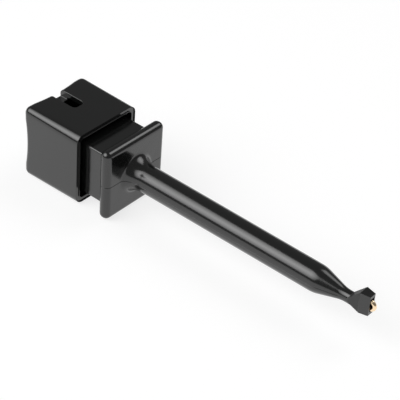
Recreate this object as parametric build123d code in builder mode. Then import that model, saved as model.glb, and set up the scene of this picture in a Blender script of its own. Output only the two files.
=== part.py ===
from build123d import *
import math
import os

# Spring-loaded grabber hook for test leads, in millimetres.
# +X runs along the barrel to the tip, +Z is up. The origin is under the middle of the length,
# on the surface that the cap lies on.

# Thumb cap
cap_length = 10.5
cap_width = 11.8
cap_height = 11.6
cap_wall = 0.85
cap_end_wall = 1.0
cap_dish_depth = 1.0
cap_long_edge_radius = 1.6
cap_inner_edge_radius = 0.8
cap_rim_chamfer = 0.15
cap_dish_chamfer = 0.4
cap_travel = 4.0

# Lead slot in the top and end walls of the cap
slot_width = 1.95
slot_length = 5.3
slot_end_radius = 0.6
slot_groove_depth = 1.1

# Flange and stem
flange_height = 11.3
flange_width = 11.6
flange_thickness = 1.8
flange_edge_radius = 0.85
stem_width = 9.0
stem_height = 8.4
stem_edge_radius = 0.3
stem_inside_cap = 4.3
spring_bore_diameter = 5.4
spring_bore_floor = 1.1

# Barrel, cone and neck
barrel_length = 32.0
barrel_diameter = 3.75
barrel_root_fillet = 1.8
barrel_bore_diameter = 1.5
cone_length = 3.9
cone_blend_radius = 5.0
neck_diameter = 1.65
neck_length = 2.3

# Head
head_length = 1.9
head_top = 2.3
head_bottom = 0.75
head_fold_width = 1.65
head_front_width = 1.15
head_ramp_length = 1.7
head_fold_offset = 0.6
head_slot_width = 0.72
head_slot_top = 1.85
head_slot_depth = 1.2

# Hook wire
wire_diameter = 0.6
wire_clearance = 0.05
bend_radius = 0.6
bend_setback = 0.15
hook_rest_gap = 0.05
hook_point_chamfer = 0.12

# Solder terminal
terminal_peg_diameter = 1.6
terminal_peg_length = 0.5
terminal_collar_diameter = 3.2
terminal_collar_length = 0.5
terminal_waist_diameter = 1.8
terminal_waist_length = 1.4
terminal_lead_hole_diameter = 0.9
terminal_sleeve_diameter = 1.5
terminal_sleeve_length = 2.5
terminal_shank_depth = 2.8

# Washer and spring
washer_diameter = 4.8
washer_thickness = 0.3
washer_clearance = 0.05
spring_wire_diameter = 0.35
spring_mean_diameter = 3.8
spring_pitch = 1.45
spring_wire_sides = 6

# Places along X, from the closed end of the cap forward
wire_radius = wire_diameter / 2
axis_height = cap_height / 2
hook_reach = bend_radius + wire_radius - bend_setback
body_length = flange_thickness + barrel_length + cone_length + neck_length + head_length
overall_length = cap_length + cap_travel + body_length + hook_reach
cap_rear_x = -overall_length / 2
cap_rim_x = cap_rear_x + cap_length
flange_rear_x = cap_rim_x + cap_travel
flange_front_x = flange_rear_x + flange_thickness
stem_rear_x = cap_rim_x - stem_inside_cap
cone_start_x = flange_front_x + barrel_length
neck_start_x = cone_start_x + cone_length
head_rear_x = neck_start_x + neck_length
head_front_x = head_rear_x + head_length
cap_dish_x = cap_rear_x + cap_dish_depth
cap_floor_x = cap_dish_x + cap_end_wall
bore_floor_x = flange_front_x - spring_bore_floor
bend_x = head_front_x - bend_setback
collar_front_x = cap_floor_x + terminal_collar_length
waist_front_x = collar_front_x + terminal_waist_length
shoulder_front_x = waist_front_x + terminal_collar_length
washer_front_x = shoulder_front_x + washer_thickness
shank_rear_x = shoulder_front_x + terminal_sleeve_length - terminal_shank_depth

# The barrel's axis as a plane: its local X runs forward and its local Y up
side_plane = Plane((0, 0, axis_height), x_dir=(1, 0, 0), z_dir=(0, -1, 0))
axis_line = Axis((0, 0, axis_height), (1, 0, 0))


def cross_plane(x: float) -> Plane:
    """The plane square to the barrel at x, with its local X along +Y and its local Y up."""
    return Plane((x, 0, axis_height), x_dir=(0, 1, 0), z_dir=(1, 0, 0))


def plan_plane(z: float) -> Plane:
    """The level plane at z."""
    return Plane((0, 0, z), x_dir=(1, 0, 0), z_dir=(0, 0, 1))


# Thumb cap: a cup with a dished end, made solid, dished, hollowed from the front and slotted.
# The dish leaves the four rear corners standing as ears, whose chamfers start at cap_rear_x.
corner_distance = math.hypot(cap_width / 2 - cap_long_edge_radius, cap_height / 2 - cap_long_edge_radius)
ear_reach = corner_distance + cap_long_edge_radius - cap_dish_chamfer
dish_radius = (ear_reach**2 + cap_dish_depth**2) / (2 * cap_dish_depth)
with BuildPart() as thumb_cap:
    with BuildSketch(cross_plane(cap_rear_x - cap_dish_chamfer)):
        RectangleRounded(cap_width, cap_height, cap_long_edge_radius)
    extrude(amount=cap_length + cap_dish_chamfer)
    chamfer(thumb_cap.faces().sort_by(Axis.X)[-1].edges(), cap_rim_chamfer)
    with Locations((cap_dish_x - dish_radius, 0, axis_height)):
        Sphere(dish_radius, mode=Mode.SUBTRACT)
    dish_face = thumb_cap.faces().filter_by(GeomType.SPHERE).sort_by(SortBy.AREA)[-1]
    chamfer(dish_face.edges(), cap_dish_chamfer)
    with BuildSketch(cross_plane(cap_floor_x)):
        RectangleRounded(cap_width - 2 * cap_wall, cap_height - 2 * cap_wall, cap_inner_edge_radius)
    extrude(amount=cap_length, mode=Mode.SUBTRACT)
    # The slot opens the top wall over the terminal and runs out of the rear as a shallower groove
    slot_front_x = cap_rear_x + slot_length
    with BuildSketch(plan_plane(cap_height)) as slot_outline:
        with BuildLine():
            Polyline(
                (cap_floor_x, -slot_width / 2),
                (slot_front_x, -slot_width / 2),
                (slot_front_x, slot_width / 2),
                (cap_floor_x, slot_width / 2),
                close=True,
            )
        make_face()
        fillet(slot_outline.vertices().group_by(Axis.X)[-1], slot_end_radius)
    extrude(amount=-(cap_height / 2 - terminal_collar_diameter / 2 - cap_wall), mode=Mode.SUBTRACT)
    with BuildSketch(plan_plane(cap_height)):
        with Locations(((cap_rear_x + cap_floor_x) / 2, 0)):
            Rectangle(cap_floor_x - cap_rear_x + slot_end_radius, slot_width)
    extrude(amount=-slot_groove_depth, mode=Mode.SUBTRACT)
    # Socket for the terminal's peg
    with BuildSketch(cross_plane(cap_floor_x)):
        Circle(terminal_peg_diameter / 2)
    extrude(amount=-terminal_peg_length, mode=Mode.SUBTRACT)
thumb_cap.part.label = "thumb_cap"

# Solder terminal: a turned pin with a peg in the cap, a waist for the lead and a crimped sleeve
with BuildPart() as solder_terminal:
    with BuildSketch(side_plane):
        with BuildLine():
            Polyline(
                (cap_floor_x - terminal_peg_length, 0),
                (cap_floor_x - terminal_peg_length, terminal_peg_diameter / 2),
                (cap_floor_x, terminal_peg_diameter / 2),
                (cap_floor_x, terminal_collar_diameter / 2),
                (collar_front_x, terminal_collar_diameter / 2),
                (collar_front_x, terminal_waist_diameter / 2),
                (waist_front_x, terminal_waist_diameter / 2),
                (waist_front_x, terminal_collar_diameter / 2),
                (shoulder_front_x, terminal_collar_diameter / 2),
                (shoulder_front_x, terminal_sleeve_diameter / 2),
                (shoulder_front_x + terminal_sleeve_length, terminal_sleeve_diameter / 2),
                (shoulder_front_x + terminal_sleeve_length, wire_radius),
                (shank_rear_x, wire_radius),
                (shank_rear_x, 0),
                close=True,
            )
        make_face()
    revolve(axis=axis_line)
    # Cross hole for the bared end of the lead, under the slot of the cap
    with BuildSketch(plan_plane(axis_height)):
        with Locations(((collar_front_x + waist_front_x) / 2, 0)):
            Circle(terminal_lead_hole_diameter / 2)
    extrude(amount=terminal_waist_diameter, both=True, mode=Mode.SUBTRACT)
solder_terminal.part.label = "solder_terminal"

# Flat washer between the terminal's shoulder and the spring
with BuildPart() as spring_washer:
    with BuildSketch(cross_plane(shoulder_front_x)):
        Circle(washer_diameter / 2)
        Circle(terminal_sleeve_diameter / 2 + washer_clearance, mode=Mode.SUBTRACT)
    extrude(amount=washer_thickness)
spring_washer.part.label = "spring_washer"

# Return spring, one even helix between the washer and the bore's floor.
# Its wire has a six-sided section, because a round one takes more facets than all the other pieces.
with BuildPart() as return_spring:
    with BuildLine() as coil:
        Helix(
            spring_pitch,
            bore_floor_x - washer_front_x - spring_wire_diameter,
            spring_mean_diameter / 2,
            center=(washer_front_x + spring_wire_diameter / 2, 0, axis_height),
            direction=(1, 0, 0),
        )
    with BuildSketch(Plane(coil.line @ 0, z_dir=coil.line % 0)):
        RegularPolygon(spring_wire_diameter / 2, spring_wire_sides)
    sweep(is_frenet=True)
return_spring.part.label = "return_spring"

# Head of the barrel: the side outline cut to the plan outline, widest at the fold
fold_x = head_rear_x + head_fold_offset
ramp_foot_x = head_rear_x - head_ramp_length
with BuildPart() as head_form:
    with BuildSketch(side_plane):
        with BuildLine():
            Polyline(
                (ramp_foot_x, 0),
                (head_rear_x, head_top),
                (head_front_x, head_top),
                (head_front_x, -head_bottom),
                (fold_x, -head_bottom),
                close=True,
            )
        make_face()
    extrude(amount=head_fold_width, both=True)
    with BuildSketch(plan_plane(axis_height)):
        with BuildLine():
            Polyline(
                (ramp_foot_x, -neck_diameter / 2),
                (fold_x, -head_fold_width / 2),
                (head_front_x, -head_front_width / 2),
                (head_front_x, head_front_width / 2),
                (fold_x, head_fold_width / 2),
                (ramp_foot_x, neck_diameter / 2),
                close=True,
            )
        make_face()
    extrude(amount=flange_height, both=True, mode=Mode.INTERSECT)

# Barrel body: stem, flange, barrel, cone, neck and head in one moulding
with BuildPart() as barrel_body:
    with BuildSketch(cross_plane(stem_rear_x)):
        RectangleRounded(stem_width, stem_height, stem_edge_radius)
    extrude(amount=flange_rear_x - stem_rear_x + flange_thickness / 2)
    with BuildSketch(cross_plane(flange_rear_x)):
        RectangleRounded(flange_width, flange_height, flange_edge_radius)
    flange = extrude(amount=flange_thickness)
    flange_edges = barrel_body.edges().filter_by(
        lambda edge: edge.bounding_box().size.X < flange_thickness / 10
        and edge.center().X > flange_rear_x - flange_thickness / 10
        and (
            abs(edge.center().Y) > stem_width / 2 + flange_edge_radius / 2
            or abs(edge.center().Z - axis_height) > stem_height / 2 + flange_edge_radius / 2
        )
    )
    fillet(flange_edges, flange_edge_radius)
    with BuildSketch(side_plane):
        with BuildLine() as barrel_outline:
            root_arc_end = (flange_front_x + barrel_root_fillet, barrel_diameter / 2)
            Line((bore_floor_x, 0), (bore_floor_x, barrel_diameter / 2 + barrel_root_fillet))
            Line(barrel_outline.line @ 1, (flange_front_x, barrel_diameter / 2 + barrel_root_fillet))
            RadiusArc(barrel_outline.line @ 1, root_arc_end, -barrel_root_fillet)
            FilletPolyline(
                root_arc_end,
                (cone_start_x, barrel_diameter / 2),
                (neck_start_x, neck_diameter / 2),
                (fold_x, neck_diameter / 2),
                radius=cone_blend_radius,
            )
            Line((fold_x, neck_diameter / 2), (fold_x, 0))
            Line((fold_x, 0), (bore_floor_x, 0))
        make_face()
    revolve(axis=axis_line)
    add(head_form.part)
    # Bores: the spring's, the wide one of the barrel and the guide of the wire
    with BuildSketch(cross_plane(stem_rear_x)):
        Circle(spring_bore_diameter / 2)
    extrude(amount=bore_floor_x - stem_rear_x, mode=Mode.SUBTRACT)
    with BuildSketch(cross_plane(bore_floor_x)):
        Circle(barrel_bore_diameter / 2)
    extrude(amount=cone_start_x - bore_floor_x, mode=Mode.SUBTRACT)
    with BuildSketch(cross_plane(cone_start_x)):
        Circle(wire_radius + wire_clearance)
    extrude(amount=head_front_x - cone_start_x, mode=Mode.SUBTRACT)
    # Front slot of the head, which takes the bend and the point of the hook
    with BuildSketch(cross_plane(head_front_x)):
        with Locations((0, (head_slot_top - wire_radius - wire_clearance) / 2)):
            Rectangle(head_slot_width, head_slot_top + wire_radius + wire_clearance)
    extrude(amount=-head_slot_depth, mode=Mode.SUBTRACT)
barrel_body.part.label = "barrel_body"

# Hook: a straight shank, a half-circle bend and a short point that reaches back into the head
point_length = head_slot_depth - bend_setback - hook_rest_gap
with BuildPart() as hook:
    with BuildLine(side_plane) as hook_path:
        Line((shank_rear_x, 0), (bend_x, 0))
        ThreePointArc((bend_x, 0), (bend_x + bend_radius, bend_radius), (bend_x, 2 * bend_radius))
        Line((bend_x, 2 * bend_radius), (bend_x - point_length, 2 * bend_radius))
    with BuildSketch(cross_plane(shank_rear_x)):
        Circle(wire_radius)
    sweep()
    point_face = hook.faces().filter_by(Axis.X).sort_by(Axis.Z)[-1]
    chamfer(point_face.edges(), hook_point_chamfer)
hook.part.label = "hook"

os.makedirs("parts", exist_ok=True)
for piece in (thumb_cap, solder_terminal, spring_washer, return_spring, barrel_body, hook):
    export_step(piece.part, f"parts/{piece.part.label}.step")
    print(piece.part.label, round(piece.part.volume, 3), "mm3", piece.part.bounding_box())
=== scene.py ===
"""Looks of a spring-loaded grabber hook for test leads.

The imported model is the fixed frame: X runs along the barrel to the tip and Z is up, in metres.
Each sub-assembly is a class that builds its meshes with bmesh operators, dresses them and lets them ride
on their body. The two black mouldings, the gold wire and the inner metal pieces stand for the CAD nodes.
"""

import logging
import math
from collections.abc import Callable
from dataclasses import dataclass
from enum import Enum

import bmesh
import bpy
from bmesh.types import BMEdge, BMesh, BMFace, BMVert
from bpy.types import ID, Material, NodeSocket, NodeTree, Object
from mathutils import Matrix, Vector


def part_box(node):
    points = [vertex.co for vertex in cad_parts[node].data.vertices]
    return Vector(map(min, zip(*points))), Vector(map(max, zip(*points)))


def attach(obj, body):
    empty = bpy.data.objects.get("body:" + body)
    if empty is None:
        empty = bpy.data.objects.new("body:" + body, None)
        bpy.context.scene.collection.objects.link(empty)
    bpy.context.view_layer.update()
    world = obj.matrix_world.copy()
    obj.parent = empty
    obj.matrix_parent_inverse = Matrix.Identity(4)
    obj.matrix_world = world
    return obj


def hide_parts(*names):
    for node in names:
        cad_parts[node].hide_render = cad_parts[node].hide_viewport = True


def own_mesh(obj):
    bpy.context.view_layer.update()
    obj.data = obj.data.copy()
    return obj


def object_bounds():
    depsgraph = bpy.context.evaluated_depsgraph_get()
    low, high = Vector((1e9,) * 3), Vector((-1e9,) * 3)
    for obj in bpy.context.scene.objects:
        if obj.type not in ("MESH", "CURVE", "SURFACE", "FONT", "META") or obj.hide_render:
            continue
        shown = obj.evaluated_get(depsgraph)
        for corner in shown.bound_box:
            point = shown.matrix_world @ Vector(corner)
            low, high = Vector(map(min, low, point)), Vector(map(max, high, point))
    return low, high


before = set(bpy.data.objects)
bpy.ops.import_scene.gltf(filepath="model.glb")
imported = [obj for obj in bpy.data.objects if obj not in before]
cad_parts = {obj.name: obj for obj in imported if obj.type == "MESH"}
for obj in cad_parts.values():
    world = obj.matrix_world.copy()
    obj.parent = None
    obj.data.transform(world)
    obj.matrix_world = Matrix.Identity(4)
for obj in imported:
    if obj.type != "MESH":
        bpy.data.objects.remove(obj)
cad_low, cad_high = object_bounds()

# (X, distance from the barrel's axis) of each point
Outline = list[tuple[float, float]]
Point = tuple[float, float, float]

log = logging.getLogger("grabber")
MM = 0.001
BUMP_DISTANCE = 0.05 * MM


class Body(Enum):
    """The two rigid bodies of the tool."""

    HOUSING = "housing"
    PLUNGER = "plunger"


class Carving(Enum):
    """How one closed mesh changes another."""

    ADD = "UNION"
    CUT = "DIFFERENCE"


@dataclass(frozen=True)
class Layout:
    """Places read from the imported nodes, in metres.

    Attributes are X places along the barrel, half sizes across it and the height of its axis.
    """

    cap_rear: float
    cap_rim: float
    cap_half_width: float
    cap_half_height: float
    stem_rear: float
    flange_half_width: float
    flange_half_height: float
    head_front: float
    axis: float
    shank_rear: float
    hook_tip: float
    wire_radius: float
    bend_radius: float
    terminal_rear: float
    terminal_front: float
    terminal_radius: float
    washer_rear: float
    washer_front: float
    washer_radius: float
    spring_rear: float
    spring_front: float

    @classmethod
    def read(cls) -> "Layout":
        """Reads the boxes of the CAD nodes.

        Returns:
            The layout of the tool at rest.
        """
        cap_low, cap_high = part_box("thumb_cap")
        body_low, body_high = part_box("barrel_body")
        hook_low, hook_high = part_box("hook")
        pin_low, pin_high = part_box("solder_terminal")
        washer_low, washer_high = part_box("spring_washer")
        spring_low, spring_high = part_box("return_spring")
        wire_radius = (hook_high.y - hook_low.y) / 2
        return cls(
            cap_rear=cap_low.x,
            cap_rim=cap_high.x,
            cap_half_width=cap_high.y,
            cap_half_height=(cap_high.z - cap_low.z) / 2,
            stem_rear=body_low.x,
            flange_half_width=body_high.y,
            flange_half_height=(body_high.z - body_low.z) / 2,
            head_front=body_high.x,
            axis=(cap_low.z + cap_high.z) / 2,
            shank_rear=hook_low.x,
            hook_tip=hook_high.x,
            wire_radius=wire_radius,
            bend_radius=(hook_high.z - hook_low.z) / 2 - wire_radius,
            terminal_rear=pin_low.x,
            terminal_front=pin_high.x,
            terminal_radius=pin_high.y,
            washer_rear=washer_low.x,
            washer_front=washer_high.x,
            washer_radius=washer_high.y,
            spring_rear=spring_low.x,
            spring_front=spring_high.x,
        )


class NodeGroups:
    """Shader node groups that more than one finish uses, each built once.

    AMOUNTS are the numbers that the group takes. Each is a field of Finish.
    """

    GRAIN = "fine_grain"
    AMOUNTS = ("grain", "tone_change", "roughness", "unevenness", "matte_place", "matte_reach", "matte_rise")
    WAVES_PER_METRE = 260.0
    WAVE_HEIGHT = 1.6
    FINE_DETAIL = 3.0
    WAVE_DETAIL = 2.0

    @classmethod
    def grain(cls) -> NodeTree:
        """Small variation of a surface: a fine grain, slow waves, a slow change of tone and a matte band.

        Returns:
            The group, with a size, amounts and a band in, and a height, a tone and a roughness out.
        """
        known = bpy.data.node_groups.get(cls.GRAIN)
        if known:
            return known
        group = bpy.data.node_groups.new(cls.GRAIN, "ShaderNodeTree")
        sockets = [(name, "INPUT", "Float") for name in cls.AMOUNTS]
        sockets += [("Base", "INPUT", "Color"), ("Color", "OUTPUT", "Color")]
        sockets += [("Height", "OUTPUT", "Float"), ("Roughness", "OUTPUT", "Float")]
        for name, way, kind in sockets:
            group.interface.new_socket(name, in_out=way, socket_type="NodeSocket" + kind)
        amount = group.nodes.new("NodeGroupInput").outputs
        result = group.nodes.new("NodeGroupOutput").inputs
        place = group.nodes.new("ShaderNodeTexCoord").outputs["Object"]
        per_metre = cls.math_node(group, "DIVIDE", 1.0, amount["grain"])
        noises = []
        for scale, detail in ((per_metre, cls.FINE_DETAIL), (cls.WAVES_PER_METRE, cls.WAVE_DETAIL)):
            noise = group.nodes.new("ShaderNodeTexNoise")
            noise.inputs["Detail"].default_value = detail
            group.links.new(place, noise.inputs["Vector"])
            cls.feed(group, scale, noise.inputs["Scale"])
            noises.append(noise.outputs["Fac"])
        fine, slow = noises
        tone = cls.math_node(group, "MULTIPLY_ADD", slow, amount["tone_change"], 1.0)
        toned = group.nodes.new("ShaderNodeVectorMath")
        toned.operation = "SCALE"
        group.links.new(amount["Base"], toned.inputs[0])
        group.links.new(tone, toned.inputs["Scale"])
        axes = group.nodes.new("ShaderNodeSeparateXYZ")
        group.links.new(place, axes.inputs[0])
        along = axes.outputs["X"]
        band = cls.math_node(group, "COMPARE", along, amount["matte_place"], amount["matte_reach"])
        rough = cls.math_node(group, "MULTIPLY_ADD", slow, amount["unevenness"], amount["roughness"])
        matte = cls.math_node(group, "MULTIPLY_ADD", band, amount["matte_rise"], rough)
        height = cls.math_node(group, "MULTIPLY_ADD", slow, cls.WAVE_HEIGHT, fine)
        group.links.new(toned.outputs[0], result["Color"])
        group.links.new(height, result["Height"])
        group.links.new(matte, result["Roughness"])
        return group

    @classmethod
    def math_node(cls, tree: NodeTree, operation: str, *values: NodeSocket | float) -> NodeSocket:
        """Adds a Math node.

        Args:
            tree: Where the node goes.
            operation: Its operation.
            values: Sockets or numbers for its inputs, in order.

        Returns:
            Its result.
        """
        node = tree.nodes.new("ShaderNodeMath")
        node.operation = operation
        for value, socket in zip(values, node.inputs):
            cls.feed(tree, value, socket)
        return node.outputs[0]

    @staticmethod
    def feed(tree: NodeTree, value: NodeSocket | float, socket: NodeSocket) -> None:
        """Links an input to a socket or sets it to a number."""
        if isinstance(value, NodeSocket):
            tree.links.new(value, socket)
        else:
            socket.default_value = value


@dataclass(frozen=True)
class Finish:
    """A surface finish made of the shared grain on one shader.

    Attributes:
        name: Name of the material.
        color: Base colour, linear.
        metallic: 0 for plastic, 1 for metal.
        roughness: Lowest roughness of the surface.
        unevenness: How much the roughness rises over the surface.
        grain: Size of the fine grain, in metres.
        bump: Strength of the bump.
        tone_change: How much lighter the tone gets over the surface.
        ior: Index of refraction.
        matte_place: X of the middle of a matte band.
        matte_reach: Half the length of the band.
        matte_rise: How much rougher the band is.
    """

    name: str
    color: Point
    metallic: float = 0.0
    roughness: float = 0.2
    unevenness: float = 0.05
    grain: float = 0.1 * MM
    bump: float = 0.05
    tone_change: float = 0.2
    ior: float = 1.5
    matte_place: float = 0.0
    matte_reach: float = 0.0
    matte_rise: float = 0.0

    def material(self) -> Material:
        """Builds the material, or returns it where it exists.

        Returns:
            The material with its nodes.
        """
        known = bpy.data.materials.get(self.name)
        if known:
            return known
        made = bpy.data.materials.new(self.name)
        made.use_nodes = True
        nodes, links = made.node_tree.nodes, made.node_tree.links
        shader = nodes["Principled BSDF"]
        shader.inputs["Metallic"].default_value = self.metallic
        shader.inputs["IOR"].default_value = self.ior
        grain = nodes.new("ShaderNodeGroup")
        grain.node_tree = NodeGroups.grain()
        for name in NodeGroups.AMOUNTS:
            grain.inputs[name].default_value = getattr(self, name)
        grain.inputs["Base"].default_value = (*self.color, 1.0)
        bump = nodes.new("ShaderNodeBump")
        bump.inputs["Strength"].default_value = self.bump
        bump.inputs["Distance"].default_value = BUMP_DISTANCE
        links.new(grain.outputs["Height"], bump.inputs["Height"])
        links.new(bump.outputs["Normal"], shader.inputs["Normal"])
        links.new(grain.outputs["Color"], shader.inputs["Base Color"])
        links.new(grain.outputs["Roughness"], shader.inputs["Roughness"])
        return made


BLACK_NYLON = Finish(
    "black_nylon",
    (0.006, 0.0064, 0.0062),
    roughness=0.13,
    unevenness=0.05,
    bump=0.04,
    ior=1.7,
    matte_place=25.6 * MM,
    matte_reach=0.8 * MM,
    matte_rise=0.4,
)
GOLD_PLATE = Finish("gold_plate", (1.0, 0.74, 0.5), metallic=1.0, roughness=0.16, bump=0.08, tone_change=0.1)
TURNED_BRASS = Finish("turned_brass", (0.78, 0.58, 0.28), metallic=1.0, roughness=0.24, bump=0.1)
SPRING_STEEL = Finish("spring_steel", (0.6, 0.6, 0.61), metallic=1.0, roughness=0.22, bump=0.06)
STAMPED_STEEL = Finish("stamped_steel", (0.64, 0.64, 0.65), metallic=1.0, roughness=0.3, bump=0.1)


def add_object(name: str, data: ID) -> Object:
    """Adds an object to the scene.

    Args:
        name: Its name.
        data: Its mesh, lamp or camera.

    Returns:
        The object at the origin.
    """
    made = bpy.data.objects.new(name, data)
    bpy.context.scene.collection.objects.link(made)
    return made


class Shaping:
    """Steps that more than one piece is shaped with."""

    SHARP_EDGE = math.radians(32)
    CORNER = math.radians(50)
    SAME_PLACE = 0.0001 * MM
    TURNED_STEPS = 48
    FLAT_WEIGHT = 90

    @classmethod
    def turn_outline(cls, bm: BMesh, points: Outline, layout: Layout, steps: int) -> None:
        """Spins an outline round the barrel's axis into a surface.

        Args:
            bm: The mesh that gets the surface.
            points: The outline, from one end to the other.
            layout: Places of the tool.
            steps: Steps of the full turn.
        """
        corners = [bm.verts.new((x, 0.0, layout.axis + r)) for x, r in points]
        line = [bm.edges.new(pair) for pair in zip(corners, corners[1:])]
        bmesh.ops.spin(
            bm,
            geom=corners + line,
            cent=(0.0, 0.0, layout.axis),
            axis=(1.0, 0.0, 0.0),
            angle=math.tau,
            steps=steps,
            use_merge=True,
        )
        bmesh.ops.remove_doubles(bm, verts=bm.verts[:], dist=cls.SAME_PLACE)

    @classmethod
    def turned(cls, points: Outline, layout: Layout) -> BMesh:
        """Turns a closed outline into a solid round the barrel's axis.

        Args:
            points: The outline, from one end to the other.
            layout: Places of the tool.

        Returns:
            The closed mesh with outward normals.
        """
        bm = bmesh.new()
        cls.turn_outline(bm, points, layout, cls.TURNED_STEPS)
        cls.face_out(bm)
        return bm

    @staticmethod
    def arc(centre: tuple[float, float], radius: float, start: float, end: float, steps: int) -> Outline:
        """Points of an arc in an outline.

        Args:
            centre: (X, distance from the axis) of the arc's centre.
            radius: Radius of the arc.
            start: First angle, in degrees.
            end: Last angle, in degrees.
            steps: Number of equal steps.

        Returns:
            The points, both ends among them.
        """
        turns = (math.radians(start + (end - start) * i / steps) for i in range(steps + 1))
        return [(centre[0] + radius * math.cos(t), centre[1] + radius * math.sin(t)) for t in turns]

    @staticmethod
    def quarter_round(radius: float, steps: int) -> list[float]:
        """Distances from the outer edge to the equal steps of a quarter round, 0 first."""
        return [radius * (1 - math.cos(math.pi / 2 * i / steps)) for i in range(steps + 1)]

    @staticmethod
    def block(low: Point, high: Point) -> BMesh:
        """A box between two corners.

        Args:
            low: Lowest corner.
            high: Highest corner.

        Returns:
            The closed box.
        """
        bm = bmesh.new()
        bmesh.ops.create_cube(bm, size=1.0)
        size = Vector(high) - Vector(low)
        bmesh.ops.scale(bm, vec=size, verts=bm.verts[:])
        bmesh.ops.translate(bm, vec=(Vector(high) + Vector(low)) / 2, verts=bm.verts[:])
        return bm

    @staticmethod
    def face_out(bm: BMesh) -> None:
        """Turns every face of a closed mesh outwards."""
        bmesh.ops.recalc_face_normals(bm, faces=bm.faces[:])

    @staticmethod
    def extrude(bm: BMesh, face: BMFace, way: Vector, keep: bool = True) -> BMFace:
        """Extrudes a face.

        Args:
            bm: The mesh.
            face: The face.
            way: The way the new face moves.
            keep: Whether the old face stays, as the other end of a solid.

        Returns:
            The new face.
        """
        made = bmesh.ops.extrude_face_region(bm, geom=[face])["geom"]
        if not keep:
            bmesh.ops.delete(bm, geom=[face], context="FACES_ONLY")
        end = next(item for item in made if isinstance(item, BMFace))
        bmesh.ops.translate(bm, vec=way, verts=end.verts[:])
        return end

    @staticmethod
    def cut_off(bm: BMesh, place: Vector, outward: Vector) -> None:
        """Cuts off what lies beyond a plane and closes the cut.

        Args:
            bm: The closed mesh.
            place: A point of the plane.
            outward: The plane's normal, towards what is cut off.
        """
        cut = bmesh.ops.bisect_plane(
            bm,
            geom=bm.verts[:] + bm.edges[:] + bm.faces[:],
            dist=Shaping.SAME_PLACE,
            plane_co=place,
            plane_no=outward,
            clear_outer=True,
        )
        rim = [item for item in cut["geom_cut"] if isinstance(item, BMEdge)]
        bmesh.ops.edgeloop_fill(bm, edges=rim)

    @staticmethod
    def round_edges(bm: BMesh, pick: Callable[[BMEdge], bool], radius: float, segments: int) -> None:
        """Rounds the edges that a test picks.

        Args:
            bm: The mesh.
            pick: Test of one edge.
            radius: Radius of the rounding.
            segments: Steps of the rounding.
        """
        edges = [edge for edge in bm.edges if pick(edge)]
        bmesh.ops.bevel(
            bm, geom=edges, offset=radius, segments=segments, profile=0.5, affect="EDGES", material=-1
        )

    @classmethod
    def to_object(cls, bm: BMesh, name: str) -> Object:
        """Turns a bmesh into an object of the scene, smooth between its sharp edges.

        Args:
            bm: The mesh, freed here.
            name: Name of the object.

        Returns:
            The object at the origin.
        """
        mesh = bpy.data.meshes.new(name)
        for face in bm.faces:
            face.smooth = True
        for edge in bm.edges:
            edge.smooth = len(edge.link_faces) != 2 or edge.calc_face_angle(0.0) < cls.SHARP_EDGE
        bm.to_mesh(mesh)
        bm.free()
        return add_object(name, mesh)

    @classmethod
    def carve(cls, body: BMesh, tool: BMesh, way: Carving) -> BMesh:
        """Joins or cuts two closed meshes.

        Args:
            body: The mesh that is changed, freed here.
            tool: The mesh that is added or taken away, freed here.
            way: Whether it is added or taken away.

        Returns:
            The new closed mesh.
        """
        base = cls.to_object(body, "carve_base")
        other = cls.to_object(tool, "carve_tool")
        step = base.modifiers.new("carve", "BOOLEAN")
        step.operation = way.value
        step.solver = "EXACT"
        step.object = other
        bpy.context.view_layer.update()
        graph = bpy.context.evaluated_depsgraph_get()
        result = bmesh.new()
        result.from_object(base, graph)
        for used in (base, other):
            mesh = used.data
            bpy.data.objects.remove(used)
            bpy.data.meshes.remove(mesh)
        bmesh.ops.remove_doubles(result, verts=result.verts[:], dist=cls.SAME_PLACE)
        bmesh.ops.dissolve_degenerate(result, dist=cls.SAME_PLACE, edges=result.edges[:])
        return result

    @classmethod
    def finish(cls, bm: BMesh, name: str, finish: Finish, body: Body, node: str, slot: str) -> Object:
        """Makes a piece of the finished mesh: shading, material, body and node.

        Args:
            bm: The mesh, freed here.
            name: Name of the piece.
            finish: Its finish.
            body: The body it rides on.
            node: The CAD node it stands for.
            slot: Not used.

        Returns:
            The piece.
        """
        piece = cls.to_object(bm, name)
        weighted = piece.modifiers.new("flat_faces_first", "WEIGHTED_NORMAL")
        weighted.keep_sharp = True
        weighted.weight = cls.FLAT_WEIGHT
        piece.data.materials.append(finish.material())
        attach(piece, body.value)
        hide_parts(node)
        return piece


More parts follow.
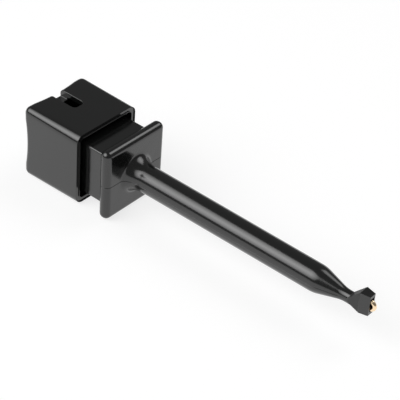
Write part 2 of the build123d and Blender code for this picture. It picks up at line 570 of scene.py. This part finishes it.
@dataclass
class ThumbCap:
    """The square cap: a cup open to the front, dished at the rear, with a lead slot in its top wall."""

    layout: Layout
    wall: float = 0.85 * MM
    floor_depth: float = 2.0 * MM
    long_edge: float = 1.35 * MM
    rear_corner: float = 1.0 * MM
    rim_edge: float = 0.15 * MM
    rear_edge: float = 0.95 * MM
    dish_depth: float = 1.0 * MM
    slot_width: float = 1.95 * MM
    slot_length: float = 5.3 * MM
    slot_end: float = 0.6 * MM
    groove_depth: float = 1.1 * MM
    slot_edge: float = 0.12 * MM
    corner_steps: int = 10
    side_cuts: int = 13
    rear_steps: int = 8
    rim_steps: int = 4
    slot_end_steps: int = 6
    ease_steps: int = 3
    ring_shares: tuple[float, ...] = (0.93, 0.85, 0.75, 0.62, 0.47, 0.3, 0.15)

    @property
    def top(self) -> float:
        """Z of the cap's top."""
        return self.layout.axis + self.layout.cap_half_height

    @property
    def slot_front(self) -> float:
        """X of the slot's front end."""
        return self.layout.cap_rear + self.slot_length

    def build(self) -> Object:
        """Builds and dresses the cap.

        Returns:
            The cap.
        """
        bm = self.outer_form()
        self.hollow(bm)
        bm = Shaping.carve(bm, self.slot_tool(), Carving.CUT)
        bm = Shaping.carve(bm, self.groove_tool(), Carving.CUT)
        self.ease_slot(bm)
        return Shaping.finish(bm, "cap_moulding", BLACK_NYLON, Body.PLUNGER, "thumb_cap", "thumb_cap")

    def outer_form(self) -> BMesh:
        """The closed outer form, its rear end dished and rounded.

        Returns:
            The mesh, with its front face still flat and whole.
        """
        place = self.layout
        bm = bmesh.new()
        bmesh.ops.create_grid(bm, x_segments=1, y_segments=1, size=0.5)
        turn = Matrix.Rotation(math.radians(-90), 4, "Y")
        bmesh.ops.transform(bm, matrix=turn, verts=bm.verts[:])
        bmesh.ops.scale(
            bm, vec=(1.0, 2 * place.cap_half_width, 2 * place.cap_half_height), verts=bm.verts[:]
        )
        bmesh.ops.translate(bm, vec=(place.cap_rim, 0.0, place.axis), verts=bm.verts[:])
        bmesh.ops.bevel(
            bm,
            geom=bm.verts[:],
            offset=self.long_edge,
            segments=self.corner_steps,
            profile=0.5,
            affect="VERTICES",
            material=-1,
        )
        straight = [edge for edge in bm.edges if edge.calc_length() > self.long_edge]
        bmesh.ops.subdivide_edges(bm, edges=straight, cuts=self.side_cuts)
        rear = Shaping.extrude(bm, next(iter(bm.faces)), Vector((place.cap_rear - place.cap_rim, 0.0, 0.0)))
        for vert in rear.verts:
            vert.co.y, vert.co.z = self.tighter_corner(vert.co.y, vert.co.z)
        Shaping.face_out(bm)
        self.rear_rings(bm, rear)
        for vert in bm.verts:
            if vert.co.x < (place.cap_rear + place.cap_rim) / 2:
                vert.co.x = self.rear_surface(vert.co.y, vert.co.z - place.axis)
        return bm

    def tighter_corner(self, y: float, z: float) -> tuple[float, float]:
        """Moves a point of the front outline to the rear outline, whose corners are tighter.

        Args:
            y: Place across the cap.
            z: Height over the ground.

        Returns:
            The new place and height.
        """
        place = self.layout
        height = z - place.axis
        over_y = abs(y) - place.cap_half_width + self.long_edge
        over_z = abs(height) - place.cap_half_height + self.long_edge
        if min(over_y, over_z) <= 0.0:
            return y, z
        share = self.rear_corner / self.long_edge
        new_y = place.cap_half_width - self.rear_corner + over_y * share
        new_z = place.cap_half_height - self.rear_corner + over_z * share
        return math.copysign(new_y, y), place.axis + math.copysign(new_z, height)

    def rear_rings(self, bm: BMesh, face: BMFace) -> None:
        """Cuts the rear face into rings: close ones for the rounded edge, then wider ones to the middle.

        Args:
            bm: The mesh.
            face: Its rear face.
        """
        insets = Shaping.quarter_round(self.rear_edge, self.rear_steps)
        for near, far in zip(insets, insets[1:]):
            bmesh.ops.inset_region(bm, faces=[face], thickness=far - near, use_even_offset=True)
        centre = Vector((0.0, 0.0, self.layout.axis))
        for share in self.ring_shares:
            face = Shaping.extrude(bm, face, Vector(), keep=False)
            before = max(abs(vert.co.y) for vert in face.verts)
            target = share * (self.layout.cap_half_width - self.rear_edge)
            bmesh.ops.scale(
                bm,
                vec=(1.0, target / before, target / before),
                space=Matrix.Translation(-centre),
                verts=face.verts[:],
            )
        bmesh.ops.poke(bm, faces=[face])

    def rear_surface(self, y: float, z: float) -> float:
        """X of the dished rear end.

        Args:
            y: Place across the cap.
            z: Height over the cap's axis.

        Returns:
            X of the surface there, with the rounding along the walls.
        """
        place = self.layout
        corner_y = place.cap_half_width - self.rear_corner
        corner_z = place.cap_half_height - self.rear_corner
        over_y, over_z = abs(y) - corner_y, abs(z) - corner_z
        outside = math.hypot(max(over_y, 0.0), max(over_z, 0.0))
        inset = self.rear_corner - outside - min(max(over_y, over_z), 0.0)
        ear_reach = math.hypot(corner_y, corner_z) + self.rear_corner - self.rear_edge
        sphere = (ear_reach**2 + self.dish_depth**2) / (2 * self.dish_depth)
        centre = place.cap_rear + self.dish_depth - sphere
        dish = centre + math.sqrt(sphere**2 - y * y - z * z)
        short = max(self.rear_edge - max(inset, 0.0), 0.0)
        rounding = self.rear_edge - math.sqrt(max(self.rear_edge**2 - short * short, 0.0))
        return max(dish, place.cap_rear) + rounding

    def hollow(self, bm: BMesh) -> None:
        """Hollows the form from its front face.

        The rim has a shallow groove between a lip at its outer edge and a bead at its inner edge.

        Args:
            bm: The closed outer form.
        """
        place, edge = self.layout, self.rim_edge
        low, inner = place.cap_rim - edge, self.wall - edge
        steps = Shaping.quarter_round(edge, self.rim_steps)[1:]
        profile = [(0.0, place.cap_rim)]
        profile += [(far, low + math.sqrt(edge**2 - (edge - far) ** 2)) for far in steps[:-1]]
        profile += [(edge, low), (inner, low)]
        profile += [(inner + far, low + math.sqrt(max(edge**2 - far**2, 0.0))) for far in steps]
        face = max(bm.faces, key=lambda item: item.calc_center_median().x)
        for (near, _), (far, x) in zip(profile, profile[1:]):
            bmesh.ops.inset_region(bm, faces=[face], thickness=far - near, use_even_offset=True)
            for vert in face.verts:
                vert.co.x = x
        floor = Shaping.extrude(bm, face, Vector(), keep=False)
        for vert in floor.verts:
            vert.co.x = place.cap_rear + self.floor_depth
        Shaping.face_out(bm)

    def slot_tool(self) -> BMesh:
        """The body that cuts the slot through the top wall.

        Returns:
            The closed cutter, with two rounded corners at the slot's front end.
        """
        rear, half = self.layout.cap_rear + self.floor_depth, self.slot_width / 2
        bm = Shaping.block(
            (rear, -half, self.top - 2 * self.wall), (self.slot_front, half, self.top + self.wall)
        )

        def at_front(edge: BMEdge) -> bool:
            """Whether an edge is one of the two upright ones at the slot's front end."""
            upright = abs(edge.verts[0].co.z - edge.verts[1].co.z) > self.wall
            return upright and min(vert.co.x for vert in edge.verts) > self.slot_front - self.slot_end / 2

        Shaping.round_edges(bm, at_front, self.slot_end, self.slot_end_steps)
        return bm

    def groove_tool(self) -> BMesh:
        """The body that cuts the groove from the slot out through the end wall.

        Returns:
            The closed cutter.
        """
        rear, half = self.layout.cap_rear, self.slot_width / 2
        return Shaping.block(
            (rear - self.wall, -half, self.top - self.groove_depth),
            (rear + self.floor_depth + self.slot_end, half, self.top + self.wall),
        )

    def ease_slot(self, bm: BMesh) -> None:
        """Eases the new sharp edges round the slot and the groove.

        Args:
            bm: The cap with its slot.
        """
        near = 0.01 * MM

        def on_slot(edge: BMEdge) -> bool:
            """Whether a sharp edge lies on the slot's mouth."""
            if len(edge.link_faces) != 2 or edge.calc_face_angle(0.0) < Shaping.CORNER:
                return False
            return all(
                abs(vert.co.y) < self.slot_width / 2 + near
                and vert.co.x < self.slot_front + near
                and vert.co.z > self.top - self.groove_depth - near
                for vert in edge.verts
            )

        Shaping.round_edges(bm, on_slot, self.slot_edge, self.ease_steps)


@dataclass
class BarrelMoulding:
    """The one-piece moulding: square stem, finger flange, barrel, cone, neck and slotted head."""

    layout: Layout
    stem_half_width: float = 4.5 * MM
    stem_half_height: float = 4.2 * MM
    stem_edge: float = 0.3 * MM
    flange_rear: float = -14.075 * MM
    flange_thickness: float = 1.8 * MM
    flange_edge: float = 0.85 * MM
    root_radius: float = 2.01 * MM
    barrel_radius: float = 1.94 * MM
    root_fillet: float = 3.4 * MM
    root_corner: float = 0.8 * MM
    root_turn: float = 35.0
    barrel_length: float = 32.0 * MM
    cone_length: float = 3.9 * MM
    cone_blend: float = 5.0 * MM
    neck_radius: float = 0.86 * MM
    head_length: float = 1.5 * MM
    head_top: float = 2.3 * MM
    head_bottom: float = 0.86 * MM
    head_fold_half: float = 0.88 * MM
    head_front_half: float = 0.55 * MM
    head_ramp: float = 2.1 * MM
    head_fold: float = 0.25 * MM
    head_edge: float = 0.05 * MM
    flat_angle: float = 0.1
    slot_half: float = 0.36 * MM
    slot_top: float = 1.85 * MM
    slot_depth: float = 1.2 * MM
    spring_bore: float = 2.7 * MM
    spring_floor: float = 1.1 * MM
    barrel_bore: float = 0.75 * MM
    wire_clearance: float = 0.05 * MM
    overrun: float = 1.0 * MM
    line_width: float = 0.045 * MM
    line_depth: float = 0.03 * MM
    rings: int = 14
    turn_steps: int = 96
    flange_steps: int = 8
    fillet_steps: int = 8
    blend_steps: int = 6
    stem_steps: int = 5
    line_steps: int = 2
    ease_steps: int = 3

    @property
    def flange_front(self) -> float:
        """X of the flange's front face."""
        return self.flange_rear + self.flange_thickness

    @property
    def cone_start(self) -> float:
        """X where the barrel turns into the cone."""
        return self.flange_front + self.barrel_length

    @property
    def neck_start(self) -> float:
        """X where the cone turns into the neck."""
        return self.cone_start + self.cone_length

    @property
    def head_rear(self) -> float:
        """X of the rear end of the head's top."""
        return self.layout.head_front - self.head_length

    def build(self) -> Object:
        """Builds and dresses the moulding.

        Returns:
            The moulding.
        """
        bm = self.flanged_barrel()
        bm = Shaping.carve(bm, self.stem(), Carving.ADD)
        self.part_line(bm)
        bm = Shaping.carve(bm, self.head(), Carving.ADD)
        bm = Shaping.carve(bm, self.bore_tool(), Carving.CUT)
        bm = Shaping.carve(bm, self.head_slot_tool(), Carving.CUT)
        return Shaping.finish(
            bm, "barrel_moulding", BLACK_NYLON, Body.HOUSING, "barrel_body", "barrel_body"
        )

    def barrel_outline(self) -> Outline:
        """Outline of the barrel from the flange's front face to inside the head.

        Returns:
            (X, radius) points: root fillet, barrel, cone with blended ends and neck.
        """
        fillet, corner, radius = self.root_fillet, self.root_corner, self.barrel_radius
        turn = math.radians(self.root_turn)
        foot = self.flange_front + corner * (1 - math.sin(turn)) + fillet * math.sin(turn)
        centre = (foot, self.root_radius + fillet)
        inner = (
            centre[0] - (fillet - corner) * math.sin(turn),
            centre[1] - (fillet - corner) * math.cos(turn),
        )
        points = Shaping.arc(inner, corner, 180, 270 - self.root_turn, self.fillet_steps)
        points += Shaping.arc(centre, fillet, 270 - self.root_turn, 270, self.fillet_steps)[1:]
        slope = math.atan2(radius - self.neck_radius, self.cone_length)
        blend = self.cone_blend * math.tan(slope / 2)
        start, end = foot, self.cone_start - blend
        for i in range(1, self.rings):
            share = i / self.rings
            ring_radius = self.root_radius + share * (radius - self.root_radius)
            points.append((start + share * (end - start), ring_radius))
        points += self.blend_arc(self.cone_start, radius, blend, slope, outward=True)
        points += self.blend_arc(self.neck_start, self.neck_radius, blend, slope, outward=False)
        points.append((self.head_rear + self.head_fold, self.neck_radius))
        return points

    def blend_arc(self, x: float, radius: float, blend: float, slope: float, outward: bool) -> Outline:
        """The arc that blends the barrel or the neck into the cone.

        Args:
            x: X of the corner that is blended.
            radius: Radius of the corner.
            blend: Distance from the corner to the arc's ends.
            slope: Angle of the cone.
            outward: Whether the corner bulges outwards.

        Returns:
            The arc's (X, radius) points, in order along the barrel.
        """
        sign = 1 if outward else -1
        points = []
        for i in range(self.blend_steps + 1):
            turn = slope * i / self.blend_steps
            along = self.cone_blend * math.sin(turn)
            drop = self.cone_blend * (1 - math.cos(turn))
            points.append((x - sign * (blend - along), radius - sign * drop))
        return points[::sign]

    def flanged_barrel(self) -> BMesh:
        """The flange with the barrel on its front face, closed at the neck's end.

        Returns:
            The closed mesh.
        """
        place = self.layout
        low = (self.flange_rear, -place.flange_half_width, place.axis - place.flange_half_height)
        high = (self.flange_front, place.flange_half_width, place.axis + place.flange_half_height)
        bm = Shaping.block(low, high)
        Shaping.round_edges(bm, lambda edge: True, self.flange_edge, self.flange_steps)
        front = max(bm.faces, key=lambda item: (item.calc_center_median().x, item.calc_area()))
        rim = front.edges[:]
        bmesh.ops.delete(bm, geom=[front], context="FACES_ONLY")
        outline = self.barrel_outline()
        neck_end = (outline[-1][0], 0.0)
        Shaping.turn_outline(bm, [*outline, neck_end], place, self.turn_steps)
        root = [edge for edge in bm.edges if len(edge.link_faces) == 1 and edge not in rim]
        bmesh.ops.triangle_fill(bm, use_beauty=True, use_dissolve=False, edges=rim + root)
        Shaping.face_out(bm)
        return bm

    def stem(self) -> BMesh:
        """The square stem, which ends inside the flange.

        Returns:
            The closed mesh.
        """
        place = self.layout
        front = self.flange_rear + self.flange_thickness / 2
        bm = Shaping.block(
            (place.stem_rear, -self.stem_half_width, place.axis - self.stem_half_height),
            (front, self.stem_half_width, place.axis + self.stem_half_height),
        )
        Shaping.round_edges(
            bm,
            lambda edge: abs(edge.verts[1].co.x - edge.verts[0].co.x) > self.stem_edge,
            self.stem_edge,
            self.stem_steps,
        )
        return bm

    def part_line(self, bm: BMesh) -> None:
        """Draws the mould's parting line as a fine groove at the height of the axis.

        Args:
            bm: The outer form of the stem, the flange and the barrel.
        """
        place = self.layout
        bmesh.ops.bisect_plane(
            bm,
            geom=bm.verts[:] + bm.edges[:] + bm.faces[:],
            dist=Shaping.SAME_PLACE,
            plane_co=(0.0, 0.0, place.axis),
            plane_no=(0.0, 0.0, 1.0),
        )
        near = 0.002 * MM

        def on_line(vert: BMVert) -> bool:
            """Whether a vertex lies at the axis's height on a side of the moulding."""
            return (
                abs(vert.co.z - place.axis) < near
                and abs(vert.co.y) > self.neck_radius - near
                and vert.co.x > place.stem_rear + near
            )

        Shaping.round_edges(bm, lambda edge: all(map(on_line, edge.verts)), self.line_width, self.line_steps)
        bm.normal_update()
        for vert in bm.verts:
            if on_line(vert):
                vert.co -= vert.normal * self.line_depth

    def head(self) -> BMesh:
        """The wedge head: its side outline cut to its plan outline.

        Returns:
            The closed mesh with eased edges.
        """
        place = self.layout
        ramp_foot = self.head_rear - self.head_ramp
        fold = self.head_rear + self.head_fold
        outline = (
            (ramp_foot, 0.0),
            (self.head_rear, self.head_top),
            (place.head_front, self.head_top),
            (place.head_front, -self.head_bottom),
            (fold, -self.head_bottom),
        )
        bm = bmesh.new()
        reach = 2 * self.head_fold_half
        side = bm.faces.new([bm.verts.new((x, -reach, place.axis + z)) for x, z in outline])
        Shaping.extrude(bm, side, Vector((0.0, 2 * reach, 0.0)))
        Shaping.face_out(bm)
        plan = (
            (ramp_foot, self.neck_radius),
            (fold, self.head_fold_half),
            (place.head_front, self.head_front_half),
        )
        for sign in (-1.0, 1.0):
            points = [Vector((x, sign * half, 0.0)) for x, half in plan]
            for start, end in zip(points, points[1:]):
                along = end - start
                Shaping.cut_off(bm, start, Vector((-along.y, along.x, 0.0)) * sign)
        Shaping.face_out(bm)
        Shaping.round_edges(
            bm, lambda edge: edge.calc_face_angle(0.0) > self.flat_angle, self.head_edge, self.ease_steps
        )
        return bm

    def bore_tool(self) -> BMesh:
        """The stepped body that cuts the spring's bore, the barrel's bore and the wire's guide.

        Returns:
            The closed cutter.
        """
        place = self.layout
        floor = self.flange_front - self.spring_floor
        guide = place.wire_radius + self.wire_clearance
        outline = [
            (place.stem_rear - self.overrun, 0.0),
            (place.stem_rear - self.overrun, self.spring_bore),
            (floor, self.spring_bore),
            (floor, self.barrel_bore),
            (self.cone_start, self.barrel_bore),
            (self.cone_start, guide),
            (place.head_front + self.overrun, guide),
            (place.head_front + self.overrun, 0.0),
        ]
        return Shaping.turned(outline, place)

    def head_slot_tool(self) -> BMesh:
        """The body that cuts the head's front slot.

        Returns:
            The closed cutter.
        """
        place = self.layout
        foot = place.wire_radius + self.wire_clearance
        return Shaping.block(
            (place.head_front - self.slot_depth, -self.slot_half, place.axis - foot),
            (place.head_front + self.overrun, self.slot_half, place.axis + self.slot_top),
        )


@dataclass
class HookWire:
    """The gold-plated wire: a long shank, a half-circle bend and a short point."""

    layout: Layout
    point_length: float = 1.0 * MM
    point_ease: float = 0.12 * MM
    round_steps: int = 32
    bend_steps: int = 28
    ease_steps: int = 3

    def build(self) -> Object:
        """Builds and dresses the wire.

        Returns:
            The wire.
        """
        place = self.layout
        bend_x = place.hook_tip - place.bend_radius - place.wire_radius
        bm = bmesh.new()
        turn = Matrix.Rotation(math.radians(90), 4, "Y")
        start = Matrix.Translation((place.shank_rear, 0.0, place.axis))
        bmesh.ops.create_circle(
            bm, cap_ends=True, segments=self.round_steps, radius=place.wire_radius, matrix=start @ turn
        )
        face = Shaping.extrude(bm, next(iter(bm.faces)), Vector((bend_x - place.shank_rear, 0.0, 0.0)))
        swept = bmesh.ops.spin(
            bm,
            geom=[face],
            cent=(bend_x, 0.0, place.axis + place.bend_radius),
            axis=(0.0, 1.0, 0.0),
            angle=-math.pi,
            steps=self.bend_steps,
        )
        bmesh.ops.delete(bm, geom=[face], context="FACES_ONLY")
        bend_end = next(item for item in swept["geom_last"] if isinstance(item, BMFace))
        tip = Shaping.extrude(bm, bend_end, Vector((-self.point_length, 0.0, 0.0)), keep=False)
        Shaping.face_out(bm)
        rim = set(tip.edges)
        Shaping.round_edges(bm, lambda edge: edge in rim, self.point_ease, self.ease_steps)
        return Shaping.finish(bm, "hook_wire", GOLD_PLATE, Body.PLUNGER, "hook", "hook")


@dataclass
class Innards:
    """The metal pieces inside the cap and the stem: terminal, washer and spring."""

    layout: Layout
    peg_radius: float = 0.8 * MM
    peg_length: float = 0.5 * MM
    collar: float = 0.5 * MM
    waist_radius: float = 0.9 * MM
    waist: float = 1.4 * MM
    lead_hole: float = 0.45 * MM
    sleeve_radius: float = 0.75 * MM
    ease: float = 0.06 * MM
    washer_clearance: float = 0.05 * MM
    spring_wire: float = 0.175 * MM
    spring_radius: float = 1.9 * MM
    spring_pitch: float = 1.45 * MM
    spring_travel: float = 3.95 * MM
    round_steps: int = 32
    coil_round_steps: int = 12
    steps_per_coil: int = 40

    def build(self) -> list[Object]:
        """Builds and dresses the three pieces.

        Returns:
            The terminal, the washer and the spring.
        """
        return [self.terminal(), self.washer(), self.spring()]

    def terminal(self) -> Object:
        """The turned terminal with its cross hole.

        Returns:
            The terminal.
        """
        place = self.layout
        rear = place.terminal_rear
        collar_rear = rear + self.peg_length
        waist_rear = collar_rear + self.collar
        waist_front = waist_rear + self.waist
        shoulder = waist_front + self.collar
        wide = place.terminal_radius
        outline = [
            (rear, 0.0),
            (rear, self.peg_radius - self.ease),
            (rear + self.ease, self.peg_radius),
            (collar_rear, self.peg_radius),
            *self.eased_rim(collar_rear, waist_rear, wide),
            (waist_rear, self.waist_radius),
            (waist_front, self.waist_radius),
            *self.eased_rim(waist_front, shoulder, wide),
            (shoulder, self.sleeve_radius),
            (place.terminal_front - self.ease, self.sleeve_radius),
            (place.terminal_front, self.sleeve_radius - self.ease),
            (place.terminal_front, place.wire_radius),
            (place.shank_rear, place.wire_radius),
            (place.shank_rear, 0.0),
        ]
        bm = Shaping.turned(outline, place)
        drill = bmesh.new()
        middle = Matrix.Translation(((waist_rear + waist_front) / 2, 0.0, place.axis))
        bmesh.ops.create_cone(
            drill,
            cap_ends=True,
            segments=self.round_steps,
            radius1=self.lead_hole,
            radius2=self.lead_hole,
            depth=4 * self.waist_radius,
            matrix=middle,
        )
        bm = Shaping.carve(bm, drill, Carving.CUT)
        return Shaping.finish(
            bm, "terminal_pin", TURNED_BRASS, Body.PLUNGER, "solder_terminal", "terminal"
        )

    def eased_rim(self, rear: float, front: float, radius: float) -> Outline:
        """Outline of a disc's rim with eased edges.

        Args:
            rear: X of its rear face.
            front: X of its front face.
            radius: Its radius.

        Returns:
            Its four points.
        """
        return [
            (rear, radius - self.ease),
            (rear + self.ease, radius),
            (front - self.ease, radius),
            (front, radius - self.ease),
        ]

    def washer(self) -> Object:
        """The flat washer under the spring.

        Returns:
            The washer.
        """
        place = self.layout
        hole = self.sleeve_radius + self.washer_clearance
        outline = [
            (place.washer_rear, hole),
            *self.eased_rim(place.washer_rear, place.washer_front, place.washer_radius),
            (place.washer_front, hole),
            (place.washer_rear, hole),
        ]
        bm = Shaping.turned(outline, place)
        return Shaping.finish(
            bm, "spring_seat_washer", STAMPED_STEEL, Body.PLUNGER, "spring_washer", "washer"
        )

    def spring(self) -> Object:
        """The return spring at its rest length, though the real one shortens as the cap goes in.

        Returns:
            The spring.
        """
        place = self.layout
        length = place.spring_front - place.spring_rear
        turns = (length - 2 * self.spring_wire) / self.spring_pitch
        bm = bmesh.new()
        start = (place.spring_rear + self.spring_wire, 0.0, place.axis + self.spring_radius)
        lean = math.atan2(self.spring_pitch, math.tau * self.spring_radius)
        section = Matrix.Rotation(math.radians(90) - lean, 4, "Z") @ Matrix.Rotation(math.radians(90), 4, "Y")
        bmesh.ops.create_circle(
            bm,
            cap_ends=True,
            segments=self.coil_round_steps,
            radius=self.spring_wire,
            matrix=Matrix.Translation(start) @ section,
        )
        steps = round(turns * self.steps_per_coil)
        bmesh.ops.spin(
            bm,
            geom=bm.faces[:],
            cent=(0.0, 0.0, place.axis),
            axis=(1.0, 0.0, 0.0),
            dvec=(self.spring_pitch * turns / steps, 0.0, 0.0),
            angle=turns * math.tau,
            steps=steps,
        )
        Shaping.face_out(bm)
        piece = Shaping.finish(bm, "spring_coil", SPRING_STEEL, Body.HOUSING, "return_spring", "spring")
        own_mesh(piece)
        return piece


@dataclass(frozen=True)
class SoftBox:
    """A rectangular lamp that looks at the middle of the object.

    Attributes:
        name: Name of the lamp.
        place: Where it hangs.
        size: Its width and height.
        radiance: How bright the middle of its face looks, where 1 is white.
        spread: Angle of its grid in degrees, which makes the face fade towards its edges.
    """

    name: str
    place: Point
    size: tuple[float, float]
    radiance: float
    spread: float

    def hang(self) -> None:
        """Adds the lamp to the scene."""
        data = bpy.data.lights.new(self.name, "AREA")
        data.shape = "RECTANGLE"
        data.size, data.size_y = self.size
        data.spread = math.radians(self.spread)
        half = data.spread / 2
        data.energy = self.radiance * math.pi * self.size[0] * self.size[1] * (1 - half / math.tan(half))
        lamp = add_object(self.name, data)
        target = (cad_low + cad_high) / 2
        lamp.location = self.place
        lamp.rotation_mode = "QUATERNION"
        lamp.rotation_quaternion = (target - Vector(self.place)).to_track_quat("-Z", "Y")


@dataclass
class Studio:
    """The pale floor, the soft lamps and the camera."""

    azimuth: float = 37.81
    elevation: float = 37.84
    roll: float = 4.61
    distance: float = 204.5 * MM
    aim: Point = (-2.172 * MM, 1.899 * MM, 5.499 * MM)
    lens: float = 135.0
    sensor: float = 36.0
    clip: tuple[float, float] = (0.01, 10.0)
    floor_half: float = 0.9
    paper: float = 0.9
    shadow: float = 0.34
    glow: float = 0.77
    floor_drop: float = 0.01 * MM
    room: float = 0.17
    key: SoftBox = SoftBox("key", (-0.208, -0.312, 0.335), (0.62, 0.47), radiance=4.3, spread=76.0)
    back: SoftBox = SoftBox("back", (0.1, 0.31, 0.38), (0.26, 0.34), radiance=3.0, spread=60.0)

    def build(self) -> None:
        """Sets up the floor, the world, the lamps and the camera."""
        self.floor()
        self.world()
        self.key.hang()
        self.back.hang()
        self.camera()

    def camera(self) -> None:
        """Places the camera at the photograph's viewing angle."""
        turn, rise, roll = (math.radians(v) for v in (self.azimuth, self.elevation, self.roll))
        back = Vector((math.sin(turn) * math.cos(rise), -math.cos(turn) * math.cos(rise), math.sin(rise)))
        level = Vector((math.cos(turn), math.sin(turn), 0.0))
        upward = back.cross(level)
        right = math.cos(roll) * level + math.sin(roll) * upward
        data = bpy.data.cameras.new("camera")
        data.lens = self.lens
        data.sensor_width = self.sensor
        data.clip_start, data.clip_end = self.clip
        camera = add_object("camera", data)
        turned = Matrix((right, back.cross(right), back)).transposed().to_4x4()
        camera.matrix_world = Matrix.Translation(Vector(self.aim) + back * self.distance) @ turned
        bpy.context.scene.camera = camera

    def floor(self) -> None:
        """Lays a white floor that keeps the object's shadow."""
        bm = bmesh.new()
        bmesh.ops.create_grid(bm, x_segments=1, y_segments=1, size=self.floor_half)
        bmesh.ops.translate(bm, vec=(0.0, 0.0, cad_low.z - self.floor_drop), verts=bm.verts[:])
        ground = Shaping.to_object(bm, "floor")
        paper = bpy.data.materials.new("white_paper")
        paper.use_nodes = True
        tree = paper.node_tree
        nodes, links = tree.nodes, tree.links
        nodes.clear()
        out = nodes.new("ShaderNodeOutputMaterial")
        diffuse = nodes.new("ShaderNodeBsdfDiffuse")
        glow = nodes.new("ShaderNodeEmission")
        both = nodes.new("ShaderNodeAddShader")
        seen = self.seen_directly(tree)
        shade = nodes.new("ShaderNodeMapRange")
        shade.inputs["To Min"].default_value = self.paper
        shade.inputs["To Max"].default_value = self.shadow
        links.new(seen, shade.inputs["Value"])
        links.new(shade.outputs["Result"], diffuse.inputs["Color"])
        links.new(NodeGroups.math_node(tree, "MULTIPLY", seen, self.glow), glow.inputs["Strength"])
        links.new(diffuse.outputs[0], both.inputs[0])
        links.new(glow.outputs[0], both.inputs[1])
        links.new(both.outputs[0], out.inputs["Surface"])
        ground.data.materials.append(paper)

    @staticmethod
    def seen_directly(tree: NodeTree) -> NodeSocket:
        """Adds up the kinds of ray that see the white floor.

        Args:
            tree: Nodes of the floor's material.

        Returns:
            A socket that is 1 for camera, glossy and transmission rays.
        """
        rays = tree.nodes.new("ShaderNodeLightPath").outputs
        seen = NodeGroups.math_node(tree, "MAXIMUM", rays["Is Camera Ray"], rays["Is Glossy Ray"])
        return NodeGroups.math_node(tree, "MAXIMUM", seen, rays["Is Transmission Ray"])

    def world(self) -> None:
        """Gives the even grey of a dim room above the floor."""
        world = bpy.data.worlds.new("studio")
        bpy.context.scene.world = world
        world.use_nodes = True
        backdrop = world.node_tree.nodes["Background"]
        backdrop.inputs["Color"].default_value = (1.0, 1.0, 1.0, 1.0)
        backdrop.inputs["Strength"].default_value = self.room


def main() -> None:
    """Builds every piece in order, then the studio."""
    logging.basicConfig(level=logging.INFO, format="%(name)s: %(message)s")
    layout = Layout.read()
    pieces = [ThumbCap(layout).build(), BarrelMoulding(layout).build(), HookWire(layout).build()]
    pieces += Innards(layout).build()
    for piece in pieces:
        log.info("%s: %d faces", piece.name, len(piece.data.polygons))
    Studio().build()
    bpy.context.scene.view_settings.view_transform = "Standard"


if __name__ == "__main__":
    main()
